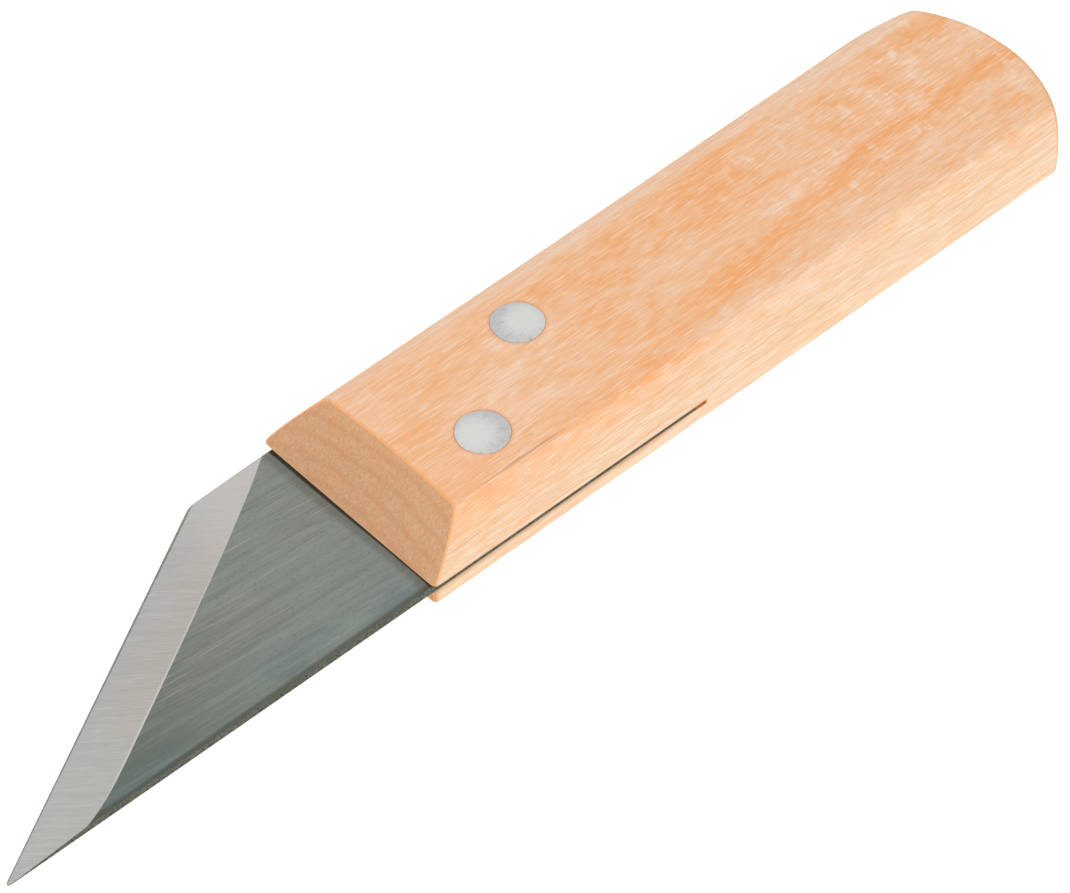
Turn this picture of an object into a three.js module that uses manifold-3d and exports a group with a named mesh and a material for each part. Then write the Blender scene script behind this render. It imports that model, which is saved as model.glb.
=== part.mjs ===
// Chip carving knife: a skew blade held in the saw kerf of a one-piece wooden handle by two
// rivets. Lengths are in millimetres. X runs along the knife, with the tip at the low end and the
// butt of the handle at the high end. Y runs across it, with the spine of the blade on the low
// side and the cutting edge on the high side. Z is up, square to the flat of the blade, and its
// zero is the flat underside of the handle, which is what the knife lies on.

import * as THREE from 'three';
import * as BufferGeometryUtils from 'three/addons/utils/BufferGeometryUtils.js';
import Module from 'manifold-3d';

// ---- driving dimensions ----

const EXPOSED_LENGTH = 64.4;      // spine of the blade, from the handle to the tip
const HANDLE_LENGTH = 113.9;
const HANDLE_FRONT_HALF = 15.9;   // half the handle's width where the blade leaves it
const HANDLE_FLARE = 0.0015;      // what each side gains for each millimetre towards the butt
const HANDLE_THICKNESS = 13.2;
const BUTT_RADIUS = 22.7;         // the end of the handle, seen from above
const BUTT_SKEW = -1;             // how far its centre lies off the handle's middle line
const BUTT_NEAR_CORNER = 1.5;     // where the round end meets the side beside the spine
const BUTT_FAR_CORNER = 9;        // and the other side, where it is rounder
const NEAR_CORNER = 0.8;          // the front corner of the handle beside the spine
const FAR_CORNER = 1.4;           // the one beside the cutting edge
const LOWER_FAR_CORNER = 2.8;     // the same corner below the kerf, which is worn further back

const BLADE_WIDTH = 30.1;
const TIP_DRESSING = 0.27;        // what the spine loses, in a straight line, by the tip
const TIP_WEAR = 0.74;            // how much shorter the blunt tip is than a pointed one
const HEEL_ROUNDING = 0.8;        // how far from its corner the heel starts to round
const BLADE_THICKNESS = 0.6;
const SPINE_INSET = 0.05;         // the tang's spine edge, in from the side of the handle
const HEEL_OVERHANG = 13.1;       // from the handle to the corner where the edge begins
const BEVEL_WIDTH = 6.8;          // across the bevel, square to the cutting edge
const EDGE_LAND = 0.05;           // what is left of the thickness at the cutting edge

const KERF_LENGTH = 44.8;
const TANG_LENGTH = 43.2;
const FIT_GAP = 0.02;             // between the kerf and each face of the tang

const RIVET_HEAD_RADIUS = 3.5;
const RIVET_SHANK_RADIUS = 2.5;
const RIVET_CONE_DEPTH = 1.6;     // depth of the countersink that the head fills
const RIVET_GAP = 0.04;
const HEAD_SINK = 0.05;           // the lower head, up from the face the handle lies on
const FRONT_RIVET = { fromFront: 17.3, y: -5.35 };
const REAR_RIVET = { fromFront: 32.6, y: 5.2 };

// The handle's section, measured from its middle plane, which is also the middle of the kerf.
const LEAN_START = 0.3;           // where the upper side starts to lean in
const LEAN_END = 6.0;             // where it reaches the rounded shoulder
const LEAN_INSET = 3.9;
const LEAN_SLOPE = 0.47;          // inset for each millimetre up, where the lean starts
const SHOULDER_INSET = 5.45;      // where the shoulder meets the crown
const SHOULDER_PULL = 0.4;        // how far in the shoulder's curve is pulled before it turns
const CROWN_RISE = 0.18;          // the crown's middle above its edges
const LOWER_BAND = 2.6;           // how far the upright side runs below the middle
const LOWER_SLOPE = 0.7;
const LOWER_INSET = 4.4;
const BUTT_FULLNESS = 0.33;       // share of the lean that has gone at the butt
const BUTT_LEAN = 1.5;            // how far the butt's upper and lower rims stand in

const FRONT_CHAMFER_SLOPE = 0.85; // rise over run of the sloping end grain

// ---- values worked out from them ----

const OVERALL = EXPOSED_LENGTH + HANDLE_LENGTH;
const FRONT = EXPOSED_LENGTH - OVERALL / 2;
const BUTT = OVERALL / 2;
const HALF_THICKNESS = HANDLE_THICKNESS / 2;
const MIDDLE = HALF_THICKNESS;
const SPINE_Y = -HANDLE_FRONT_HALF + SPINE_INSET;
const EDGE_SIDE_Y = SPINE_Y + BLADE_WIDTH;
// Where the spine and the cutting edge would meet if the tip were not worn blunt.
const POINT = new THREE.Vector2(FRONT - EXPOSED_LENGTH - TIP_WEAR, SPINE_Y + TIP_DRESSING);
const HEEL = new THREE.Vector2(FRONT - HEEL_OVERHANG, EDGE_SIDE_Y);
const ALONG_EDGE = HEEL.clone().sub(POINT).normalize();
// How far from that point both lines start to curve, for the curve to leave the tip in its place.
const TIP_ROUNDING = TIP_WEAR * (1 + 1 / ALONG_EDGE.x);
const ROUND_SEGMENTS = 48;
const MARGIN = 5;                 // how far a cutting tool reaches past what it cuts
const GRINDING_OVERRUN = 15;      // how far the ground plane runs on past each end of the edge
const ON_FACE = 0.01;             // a point this close to a face counts as lying on it

// ---- helpers ----

const wasm = await Module();
wasm.setup();

// A closed geometry as a solid that can be cut.
function solid(geometry) {
  const bare = geometry.index ? geometry.toNonIndexed() : geometry.clone();
  bare.deleteAttribute('normal');
  bare.deleteAttribute('uv');
  const merged = BufferGeometryUtils.mergeVertices(bare, 1e-4);
  return new wasm.Manifold(new wasm.Mesh({
    numProp: 3,
    vertProperties: new Float32Array(merged.attributes.position.array),
    triVerts: new Uint32Array(merged.index.array),
  }));
}

// A cut solid as a geometry again.
function geometryOf(body) {
  const mesh = body.getMesh();
  const geometry = new THREE.BufferGeometry();
  geometry.setAttribute('position', new THREE.BufferAttribute(mesh.vertProperties, 3));
  geometry.setIndex(new THREE.BufferAttribute(mesh.triVerts, 1));
  geometry.computeVertexNormals();
  return geometry;
}

function box(x0, x1, y0, y1, z0, z1) {
  const geometry = new THREE.BoxGeometry(x1 - x0, y1 - y0, z1 - z0);
  return geometry.translate((x0 + x1) / 2, (y0 + y1) / 2, (z0 + z1) / 2);
}

// An outline drawn across X and Z, made solid along Y.
function alongY(shape, y0, y1) {
  const geometry = new THREE.ExtrudeGeometry(shape, { depth: y1 - y0, bevelEnabled: false });
  return geometry.rotateX(Math.PI / 2).translate(0, y1, 0);
}

// A rivet turned about Z in its place: two countersunk heads on a plain shank. Its hole is the
// same shape, a little larger, with its mouths carried out past the handle.
function rivetGeometry(place, grow, over) {
  const head = RIVET_HEAD_RADIUS + grow;
  const shank = RIVET_SHANK_RADIUS + grow;
  const across = place.y / (HANDLE_FRONT_HALF - SHOULDER_INSET);
  const low = HEAD_SINK;
  const high = HANDLE_THICKNESS - CROWN_RISE * across * across;
  const profile = [
    new THREE.Vector2(0, low - over),
    new THREE.Vector2(head, low - over),
    new THREE.Vector2(head, low),
    new THREE.Vector2(shank, low + RIVET_CONE_DEPTH),
    new THREE.Vector2(shank, high - RIVET_CONE_DEPTH),
    new THREE.Vector2(head, high),
    new THREE.Vector2(head, high + over),
    new THREE.Vector2(0, high + over),
  ].filter((point, i, all) => i === 0 || point.distanceTo(all[i - 1]) > 0);
  const geometry = new THREE.LatheGeometry(profile, ROUND_SEGMENTS).rotateX(Math.PI / 2);
  return geometry.translate(FRONT + place.fromFront, place.y, 0);
}

// ---- handle ----

// How far the side stands in from the full width, at a height above or below the middle plane.
function sideInset(height) {
  if (height > LEAN_START) {
    const rise = Math.min(height, LEAN_END) - LEAN_START;
    const run = LEAN_END - LEAN_START;
    const curve = (LEAN_INSET - LEAN_SLOPE * run) / (run * run);
    return LEAN_SLOPE * rise + curve * rise * rise;
  }
  return 0;
}

// The section's outline, drawn up the high side of Y from the underside, over the crown, and down
// the low side.
function sectionShape() {
  const full = HANDLE_FRONT_HALF;
  const lowerControl = full - LOWER_SLOPE * (HALF_THICKNESS - LOWER_BAND) / 2;
  const leanControl = full - LEAN_SLOPE * (LEAN_END - LEAN_START) / 2;
  const crownEdge = HALF_THICKNESS - CROWN_RISE;
  const shape = new THREE.Shape();
  shape.moveTo(full - LOWER_INSET, -HALF_THICKNESS);
  shape.quadraticCurveTo(lowerControl, -(HALF_THICKNESS + LOWER_BAND) / 2, full, -LOWER_BAND);
  shape.lineTo(full, LEAN_START);
  shape.quadraticCurveTo(leanControl, (LEAN_START + LEAN_END) / 2, full - LEAN_INSET, LEAN_END);
  shape.quadraticCurveTo(full - LEAN_INSET - SHOULDER_PULL, crownEdge,
    full - SHOULDER_INSET, crownEdge);
  shape.quadraticCurveTo(0, HALF_THICKNESS + CROWN_RISE, SHOULDER_INSET - full, crownEdge);
  shape.quadraticCurveTo(LEAN_INSET + SHOULDER_PULL - full, crownEdge,
    LEAN_INSET - full, LEAN_END);
  shape.quadraticCurveTo(-leanControl, (LEAN_START + LEAN_END) / 2, -full, LEAN_START);
  shape.lineTo(-full, -LOWER_BAND);
  shape.quadraticCurveTo(-lowerControl, -(HALF_THICKNESS + LOWER_BAND) / 2,
    LOWER_INSET - full, -HALF_THICKNESS);
  shape.closePath();
  return shape;
}

// The section drawn out along X, widening and filling out towards the butt.
function handleBar() {
  const bar = new THREE.ExtrudeGeometry(sectionShape(), {
    depth: HANDLE_LENGTH + 2 * MARGIN, steps: 12, curveSegments: 6, bevelEnabled: false,
  });
  const at = bar.attributes.position;
  for (let i = 0; i < at.count; i += 1) {
    const fromFront = at.getZ(i) - MARGIN;
    const height = at.getY(i);
    const inset = sideInset(height);
    const filled = inset * (1 - BUTT_FULLNESS * fromFront / HANDLE_LENGTH);
    const half = HANDLE_FRONT_HALF + HANDLE_FLARE * fromFront;
    const y = at.getX(i) * (half - filled) / (HANDLE_FRONT_HALF - inset);
    at.setXYZ(i, FRONT + fromFront, y, MIDDLE + height);
  }
  return solid(bar);
}

// The handle's outline from above: softened corners and a round butt. Its sides are left wide,
// because the bar's own sides are the handle's.
function planShape() {
  const half = HANDLE_FRONT_HALF + HANDLE_FLARE * HANDLE_LENGTH;
  const centre = BUTT - BUTT_RADIUS;
  // Each corner arc touches its side line and the butt arc from inside.
  const corner = (side, radius) => {
    const reach = BUTT_RADIUS - radius;
    const y = side * (half - radius);
    const x = centre + Math.sqrt(reach * reach - (y - BUTT_SKEW) ** 2);
    return { x, y, turn: Math.atan2(y - BUTT_SKEW, x - centre) };
  };
  const low = corner(-1, BUTT_NEAR_CORNER);
  const high = corner(1, BUTT_FAR_CORNER);
  const shape = new THREE.Shape();
  const nearY = NEAR_CORNER - HANDLE_FRONT_HALF;
  const farY = HANDLE_FRONT_HALF - FAR_CORNER;
  shape.moveTo(FRONT, farY);
  shape.lineTo(FRONT, nearY);
  shape.absarc(FRONT + NEAR_CORNER, nearY, NEAR_CORNER, -Math.PI, -Math.PI / 2, false);
  shape.lineTo(FRONT + NEAR_CORNER, -half - MARGIN);
  shape.lineTo(low.x, -half - MARGIN);
  shape.lineTo(low.x, -half);
  shape.absarc(low.x, low.y, BUTT_NEAR_CORNER, -Math.PI / 2, low.turn, false);
  shape.absarc(centre, BUTT_SKEW, BUTT_RADIUS, low.turn, high.turn, false);
  shape.absarc(high.x, high.y, BUTT_FAR_CORNER, high.turn, Math.PI / 2, false);
  shape.lineTo(high.x, half + MARGIN);
  shape.lineTo(FRONT + FAR_CORNER, half + MARGIN);
  shape.absarc(FRONT + FAR_CORNER, farY, FAR_CORNER, Math.PI / 2, Math.PI, false);
  return shape;
}

// What comes off the front: a sloping wedge above the kerf and one below the upright band.
function frontWedge(start, sign) {
  const rise = HALF_THICKNESS + MARGIN;
  const run = rise / FRONT_CHAMFER_SLOPE;
  const shape = new THREE.Shape();
  shape.moveTo(FRONT, MIDDLE + sign * start);
  shape.lineTo(FRONT + run, MIDDLE + sign * (start + rise));
  shape.lineTo(FRONT - MARGIN, MIDDLE + sign * (start + rise));
  shape.lineTo(FRONT - MARGIN, MIDDLE + sign * start);
  shape.closePath();
  const reach = HANDLE_FRONT_HALF + MARGIN;
  return solid(alongY(shape, -reach, reach));
}

// What comes off the lower cheek: all that lies outside the arc of its far corner.
function lowerCorner() {
  const side = HANDLE_FRONT_HALF + HANDLE_FLARE * LOWER_FAR_CORNER;
  const centreY = side - LOWER_FAR_CORNER;
  const shape = new THREE.Shape();
  shape.moveTo(FRONT, centreY);
  shape.lineTo(FRONT - MARGIN, centreY);
  shape.lineTo(FRONT - MARGIN, side + MARGIN);
  shape.lineTo(FRONT + LOWER_FAR_CORNER, side + MARGIN);
  shape.lineTo(FRONT + LOWER_FAR_CORNER, side);
  shape.absarc(FRONT + LOWER_FAR_CORNER, centreY, LOWER_FAR_CORNER, Math.PI / 2, Math.PI, false);
  const tool = new THREE.ExtrudeGeometry(shape, { depth: MIDDLE + MARGIN, bevelEnabled: false });
  return solid(tool.translate(0, 0, -MARGIN));
}

// The outline from above made solid, with its butt end curving in towards the upper and lower
// faces.
function planTool() {
  const tool = new THREE.ExtrudeGeometry(planShape(), {
    depth: HANDLE_THICKNESS, steps: 12, curveSegments: 16, bevelEnabled: false,
  });
  const at = tool.attributes.position;
  for (let i = 0; i < at.count; i += 1) {
    const height = Math.abs(at.getZ(i) - MIDDLE);
    const rise = Math.max(0, height - LOWER_BAND) / (HALF_THICKNESS - LOWER_BAND);
    const lean = at.getX(i) > 0 ? BUTT_LEAN * rise * rise : 0;
    const onFace = height > HALF_THICKNESS - ON_FACE;
    const stretch = onFace ? MARGIN * Math.sign(at.getZ(i) - MIDDLE) : 0;
    at.setXYZ(i, at.getX(i) - lean, at.getY(i), at.getZ(i) + stretch);
  }
  return solid(tool);
}

function handle() {
  const kerfHalf = BLADE_THICKNESS / 2 + FIT_GAP;
  const reach = HANDLE_FRONT_HALF + MARGIN;
  const kerf = box(FRONT - MARGIN, FRONT + KERF_LENGTH, -reach, reach,
    MIDDLE - kerfHalf, MIDDLE + kerfHalf);
  let body = handleBar().intersect(planTool());
  body = body.subtract(frontWedge(LEAN_START, 1));
  body = body.subtract(frontWedge(LOWER_BAND, -1));
  body = body.subtract(lowerCorner());
  body = body.subtract(solid(kerf));
  for (const place of [FRONT_RIVET, REAR_RIVET]) {
    body = body.subtract(solid(rivetGeometry(place, RIVET_GAP, MARGIN)));
  }
  return geometryOf(body);
}

// ---- blade ----

// The strip from above. The cutting edge runs askew from the heel to the blunt tip at the spine.
function bladeShape() {
  const spineStart = new THREE.Vector2(FRONT, SPINE_Y).sub(POINT).setLength(TIP_ROUNDING).add(POINT);
  const edgeStart = ALONG_EDGE.clone().multiplyScalar(TIP_ROUNDING).add(POINT);
  const edgeEnd = ALONG_EDGE.clone().multiplyScalar(-HEEL_ROUNDING).add(HEEL);
  const shape = new THREE.Shape();
  shape.moveTo(spineStart.x, spineStart.y);
  shape.lineTo(FRONT, SPINE_Y);
  shape.lineTo(FRONT + TANG_LENGTH, SPINE_Y);
  shape.lineTo(FRONT + TANG_LENGTH, EDGE_SIDE_Y);
  shape.lineTo(HEEL.x + HEEL_ROUNDING, HEEL.y);
  shape.quadraticCurveTo(HEEL.x, HEEL.y, edgeEnd.x, edgeEnd.y);
  shape.lineTo(edgeStart.x, edgeStart.y);
  shape.quadraticCurveTo(POINT.x, POINT.y, spineStart.x, spineStart.y);
  return shape;
}

// What the grinder takes off the upper face: a wedge along the cutting edge.
function bevelWedge() {
  const length = HEEL.distanceTo(POINT);
  const rise = (BLADE_THICKNESS - EDGE_LAND) / BEVEL_WIDTH;
  const reach = BEVEL_WIDTH + MARGIN;
  // Drawn in the plane square to the edge: across the bevel from the edge inwards, and up.
  const section = new THREE.Shape();
  section.moveTo(-MARGIN, -MARGIN * rise);
  section.lineTo(reach, reach * rise);
  section.lineTo(-MARGIN, reach * rise);
  section.closePath();
  const wedge = new THREE.ExtrudeGeometry(section, {
    depth: length + 2 * GRINDING_OVERRUN, bevelEnabled: false,
  });
  wedge.translate(0, 0, -GRINDING_OVERRUN);
  wedge.applyMatrix4(new THREE.Matrix4().makeBasis(
    new THREE.Vector3(ALONG_EDGE.y, -ALONG_EDGE.x, 0),
    new THREE.Vector3(0, 0, 1),
    new THREE.Vector3(-ALONG_EDGE.x, -ALONG_EDGE.y, 0),
  ));
  return wedge.translate(HEEL.x, HEEL.y, MIDDLE - BLADE_THICKNESS / 2 + EDGE_LAND);
}

function blade() {
  const strip = new THREE.ExtrudeGeometry(bladeShape(), {
    depth: BLADE_THICKNESS, bevelEnabled: false,
  }).translate(0, 0, MIDDLE - BLADE_THICKNESS / 2);
  let body = solid(strip).subtract(solid(bevelWedge()));
  for (const place of [FRONT_RIVET, REAR_RIVET]) {
    body = body.subtract(solid(rivetGeometry(place, RIVET_GAP, 0)));
  }
  return geometryOf(body);
}

// ---- assembly ----

const wood = { color: 0xe9c39a, roughness: 0.62, metalness: 0 };
const steel = { color: 0x828a84, roughness: 0.38, metalness: 1 };
const aluminium = { color: 0xd2d4d4, roughness: 0.45, metalness: 1 };

const knife = new THREE.Group();

function add(name, geometry, finish) {
  const mesh = new THREE.Mesh(geometry, new THREE.MeshStandardMaterial(finish));
  mesh.name = name;
  knife.add(mesh);
}

add('handle', handle(), wood);
add('blade', blade(), steel);
add('front_rivet', rivetGeometry(FRONT_RIVET, 0, 0), aluminium);
add('rear_rivet', rivetGeometry(REAR_RIVET, 0, 0), aluminium);

export default knife;
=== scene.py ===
# %% [markdown]
# # A chip carving knife
# The knife is a flat strip of hardened steel, ground askew at one end, that sits in a saw cut in
# a one-piece wooden handle. Two soft rivets go through wood and steel and hold them together.
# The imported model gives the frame: where each piece is and how large it is. Each plain solid is
# then replaced by a finished piece in the same place. Lengths below are in millimetres, because a
# maker thinks in them, and every mesh is turned into metres as it is finished.

# %% Load the frame
import math

import bmesh
import bpy
from mathutils import Matrix, Vector, noise


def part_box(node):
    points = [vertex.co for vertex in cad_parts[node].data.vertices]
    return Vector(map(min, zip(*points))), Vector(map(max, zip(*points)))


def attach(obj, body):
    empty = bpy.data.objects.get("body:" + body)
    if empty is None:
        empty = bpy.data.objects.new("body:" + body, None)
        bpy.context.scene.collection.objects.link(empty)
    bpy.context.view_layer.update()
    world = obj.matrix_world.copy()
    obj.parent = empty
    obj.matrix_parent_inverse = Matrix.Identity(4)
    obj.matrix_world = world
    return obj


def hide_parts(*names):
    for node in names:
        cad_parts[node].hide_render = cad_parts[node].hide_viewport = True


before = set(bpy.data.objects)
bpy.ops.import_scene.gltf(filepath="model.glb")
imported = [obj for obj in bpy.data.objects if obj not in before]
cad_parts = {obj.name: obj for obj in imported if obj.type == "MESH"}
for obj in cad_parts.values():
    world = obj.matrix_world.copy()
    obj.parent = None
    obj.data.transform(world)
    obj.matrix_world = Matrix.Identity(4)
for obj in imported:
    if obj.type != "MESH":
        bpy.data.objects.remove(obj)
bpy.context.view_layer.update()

MM = 0.001
KNIFE = "root"


def box_mm(node):
    """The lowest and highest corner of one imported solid, in millimetres."""
    low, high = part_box(node)
    return low / MM, high / MM


handle_low, handle_high = box_mm("handle")
blade_low, blade_high = box_mm("blade")
FRONT = handle_low.x
BUTT = handle_high.x
MIDDLE = (handle_low.z + handle_high.z) / 2
HALF_THICKNESS = (handle_high.z - handle_low.z) / 2
print("handle from", round(FRONT, 2), "to", round(BUTT, 2), "mm, middle plane at", round(MIDDLE, 2))

# %% [markdown]
# ## Camera
# The camera looks down on the knife from beyond the blade's tip, on the side of its spine. It
# stands well back behind a long lens, so the knife's long sides stay nearly parallel.

# %% Camera
CAMERA_AZIMUTH = math.radians(-42.51)
CAMERA_ELEVATION = math.radians(48.643)
CAMERA_DISTANCE = 0.5645
CAMERA_TARGET = Vector((-0.00068, -0.00729, 0.0069))
LENS = 155.2

towards_camera = Vector((
    math.sin(CAMERA_AZIMUTH) * math.cos(CAMERA_ELEVATION),
    -math.cos(CAMERA_AZIMUTH) * math.cos(CAMERA_ELEVATION),
    math.sin(CAMERA_ELEVATION),
))
camera = bpy.data.objects.new("camera", bpy.data.cameras.new("camera"))
bpy.context.scene.collection.objects.link(camera)
camera.data.lens = LENS
camera.location = CAMERA_TARGET + towards_camera * CAMERA_DISTANCE
camera.rotation_euler = towards_camera.to_track_quat("Z", "Y").to_euler()
bpy.context.scene.camera = camera
print("camera at", tuple(round(v, 3) for v in camera.location))

# %% [markdown]
# ## Light and floor
# Small steel tools are shown on a lit white table, with light from nearly every side, so that the
# metal mirrors something pale and the wood keeps its own colour. The world gives that light all
# round, one large soft lamp above gives the shapes a little direction, and the floor glows a little
# as a lit table does. The plain view transform keeps white as white.

# %% Light and floor
WORLD_STRENGTH = 0.84
LAMP_PLACE = Vector((-0.25, -0.45, 0.75))
LAMP_SIZE = 0.7
LAMP_POWER = 3.8
FLOOR_SIZE = 6.0
FLOOR_WHITE = 0.82
FLOOR_GLOW = 0.6

scene = bpy.context.scene
scene.view_settings.view_transform = "Standard"
scene.world = bpy.data.worlds.new("studio")
scene.world.use_nodes = True
studio = scene.world.node_tree.nodes["Background"]
studio.inputs["Color"].default_value = (1.0, 0.995, 0.985, 1)
studio.inputs["Strength"].default_value = WORLD_STRENGTH

lamp = bpy.data.objects.new("soft_lamp", bpy.data.lights.new("soft_lamp", "AREA"))
scene.collection.objects.link(lamp)
lamp.data.shape = "DISK"
lamp.data.size = LAMP_SIZE
lamp.data.energy = LAMP_POWER
lamp.location = LAMP_PLACE
lamp.rotation_euler = LAMP_PLACE.to_track_quat("Z", "Y").to_euler()

floor_mesh = bmesh.new()
bmesh.ops.create_grid(floor_mesh, x_segments=4, y_segments=4, size=FLOOR_SIZE / 2)
floor = bpy.data.objects.new("floor", bpy.data.meshes.new("floor"))
floor_mesh.to_mesh(floor.data)
floor_mesh.free()
scene.collection.objects.link(floor)
print("floor", FLOOR_SIZE, "m wide, lamp of", LAMP_SIZE, "m")

# %% [markdown]
# ## Writing finishes
# A finish is a small tree of nodes. `Wire` stands for one socket and takes part in ordinary
# sums, each of which adds a Math node, so a mask reads as the formula it is.

# %% Wire
class Wire:
    """One output socket, which takes part in sums."""

    def __init__(self, finish, socket):
        self.finish = finish
        self.socket = socket

    def sum(self, operation, left, right):
        return self.finish.node("ShaderNodeMath", {"operation": operation}, {0: left, 1: right})

    def __add__(self, other):
        return self.sum("ADD", self, other)

    def __radd__(self, other):
        return self.sum("ADD", other, self)

    def __sub__(self, other):
        return self.sum("SUBTRACT", self, other)

    def __rsub__(self, other):
        return self.sum("SUBTRACT", other, self)

    def __mul__(self, other):
        return self.sum("MULTIPLY", self, other)

    def __rmul__(self, other):
        return self.sum("MULTIPLY", other, self)

    def __truediv__(self, other):
        return self.sum("DIVIDE", self, other)

    def __abs__(self):
        return self.finish.node("ShaderNodeMath", {"operation": "ABSOLUTE"}, {0: self})


# %% [markdown]
# `Finish` holds one material, and its `node` method adds any other kind of node. Patterns are laid
# out in millimetres on Object coordinates, so they run through the piece as they do in real
# material. A mask is made by `step`, a change of tone by `blend`, and every pattern by `grain`.

# %% Finish
class Finish:
    """One material, whose nodes are added by name and by formula."""

    def __init__(self, name, **constants):
        self.material = bpy.data.materials.new(name)
        self.material.use_nodes = True
        self.tree = self.material.node_tree
        self.shader = self.tree.nodes["Principled BSDF"]
        for socket, value in constants.items():
            self.shader.inputs[socket.replace("_", " ")].default_value = value
        self.place = self.node("ShaderNodeVectorMath", {"operation": "SCALE"}, {
            0: self.node("ShaderNodeTexCoord", output="Object"), "Scale": 1 / MM,
        })
        parts = self.node("ShaderNodeSeparateXYZ", inputs={0: self.place}).socket.node
        self.x, self.y, self.z = (Wire(self, socket) for socket in parts.outputs)

    def node(self, kind, settings=None, inputs=None, output=0):
        made = self.tree.nodes.new(kind)
        for name, value in (settings or {}).items():
            setattr(made, name, value)
        for name, value in (inputs or {}).items():
            if isinstance(value, Wire):
                self.tree.links.new(value.socket, made.inputs[name])
            else:
                made.inputs[name].default_value = value
        return Wire(self, made.outputs[output])

    def step(self, value, low, high):
        """0 below low, 1 above high, and a smooth change between them; high may be the lower."""
        return self.node("ShaderNodeMapRange", {"interpolation_type": "SMOOTHSTEP"}, {
            "Value": value, "From Min": low, "From Max": high,
        })

    def blend(self, mask, first, second):
        """The first colour where the mask is 0, and the second where it is 1."""
        return self.node("ShaderNodeMix", {"data_type": "RGBA"}, {0: mask, 6: first, 7: second}, 2)

    def grain(self, pitch, detail=2, roughness=0.5, shift=0, place=None, turned=0):
        """Noise whose features are about pitch millimetres long, wide and deep, turned about Z."""
        mapped = self.node("ShaderNodeMapping", {"vector_type": "TEXTURE"}, {
            "Vector": place or self.place, "Location": (shift, shift, shift),
            "Rotation": (0, 0, math.radians(turned)), "Scale": pitch,
        })
        return self.node("ShaderNodeTexNoise", inputs={
            "Vector": mapped, "Scale": 1, "Detail": detail, "Roughness": roughness,
        })

    def relief(self, height, depth):
        """Bumps of this height, depth millimetres from lowest to highest."""
        self.connect("Normal", self.node("ShaderNodeBump", inputs={
            "Height": height, "Strength": 1, "Distance": depth * MM,
        }))

    def connect(self, socket, value):
        self.tree.links.new(value.socket, self.shader.inputs[socket])


def tone(red, green, blue):
    """A colour as a screen shows it, 0 to 255, turned into the linear light a shader needs."""
    return tuple(((v / 255 + 0.055) / 1.055) ** 2.4 for v in (red, green, blue)) + (1,)


print("a screen's mid grey is", round(tone(128, 128, 128)[0], 3), "in linear light")


# %% [markdown]
# The floor is the first finish: matt white, with a slight glow from below.

# %% Floor finish
floor_finish = Finish("lit_table", Roughness=0.9, Specular_IOR_Level=0.0)
cloudy = floor_finish.step(floor_finish.grain((300, 300, 300)), 0.3, 0.7)
floor_finish.connect("Base Color", floor_finish.blend(
    cloudy, (FLOOR_WHITE,) * 3 + (1,), (FLOOR_WHITE + 0.01,) * 3 + (1,)))
floor_finish.shader.inputs["Emission Color"].default_value = (1, 1, 1, 1)
floor_finish.shader.inputs["Emission Strength"].default_value = FLOOR_GLOW
floor.data.materials.append(floor_finish.material)
print("floor finish ready")

# %% [markdown]
# ## From a mesh to a piece
# Every piece is shaped in millimetres in a bmesh, then written out once: normals outward, scaled to
# metres, smooth over gentle bends and sharp over hard edges. `cut_away` takes one closed mesh out
# of another, which is what a saw and a drill do.

# %% Piece helpers
def mesh_from(bm, name):
    bmesh.ops.recalc_face_normals(bm, faces=bm.faces)
    mesh = bpy.data.meshes.new(name)
    bm.to_mesh(mesh)
    bm.free()
    return mesh


def cut_away(mesh, cutters, finishes):
    """The mesh with each cutter's volume taken out of it, and its finishes in their order."""
    for finish in finishes:
        mesh.materials.append(finish.material)
    body = bpy.data.objects.new("uncut", mesh)
    scene.collection.objects.link(body)
    tools = []
    for cutter in cutters:
        tool = bpy.data.objects.new("cutter", cutter)
        scene.collection.objects.link(tool)
        cut = body.modifiers.new("cut", "BOOLEAN")
        cut.object, cut.operation, cut.solver = tool, "DIFFERENCE", "EXACT"
        tools.append(tool)
    graph = bpy.context.evaluated_depsgraph_get()
    result = bpy.data.meshes.new_from_object(body.evaluated_get(graph))
    for used in [body, *tools]:
        bpy.data.objects.remove(used)
    return result


def piece_from(mesh, name, node, sharp=30):
    """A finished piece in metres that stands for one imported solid."""
    mesh.name = name
    mesh.transform(Matrix.Scale(MM, 4))
    mesh.shade_smooth()
    mesh.set_sharp_from_angle(angle=math.radians(sharp))
    piece = bpy.data.objects.new(name, mesh)
    scene.collection.objects.link(piece)
    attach(piece, KNIFE)
    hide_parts(node)
    size = [round(v / MM, 2) for v in piece.dimensions]
    print(name, "is", size, "mm, with", len(mesh.polygons), "faces")
    return piece


# %% [markdown]
# ## The handle's section
# The handle is a bar of close-grained hardwood, sanded by hand. Its sides stand upright round the
# saw cut, lean in above it, and turn over a rounded shoulder into a slightly crowned top. Half of
# the section is a few short curves, and the other half is its mirror image.

# %% Section of the handle
FLARE = 0.0015            # what each side gains for each millimetre towards the butt
HALF_WIDTH = handle_high.y - FLARE * (BUTT - FRONT)
LEAN_START = 0.3          # heights are from the middle plane
LEAN_END = 6.0
LEAN_INSET = 3.9
LEAN_SLOPE = 0.47
SHOULDER_INSET = 5.45
SHOULDER_PULL = 0.4
CROWN_RISE = 0.18
LOWER_BAND = 2.6
LOWER_SLOPE = 0.7
LOWER_INSET = 4.4
SEAM_BELOW = 0.6          # one short edge joins the two halves underneath, and one on top
SEAM_ABOVE = 0.3


def curve(start, control, end, steps):
    """Points on a quadratic curve, all but its last."""
    points = []
    for i in range(steps):
        t = i / steps
        points.append(tuple((1 - t) ** 2 * a + 2 * t * (1 - t) * c + t * t * b
                            for a, c, b in zip(start, control, end)))
    return points


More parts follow.
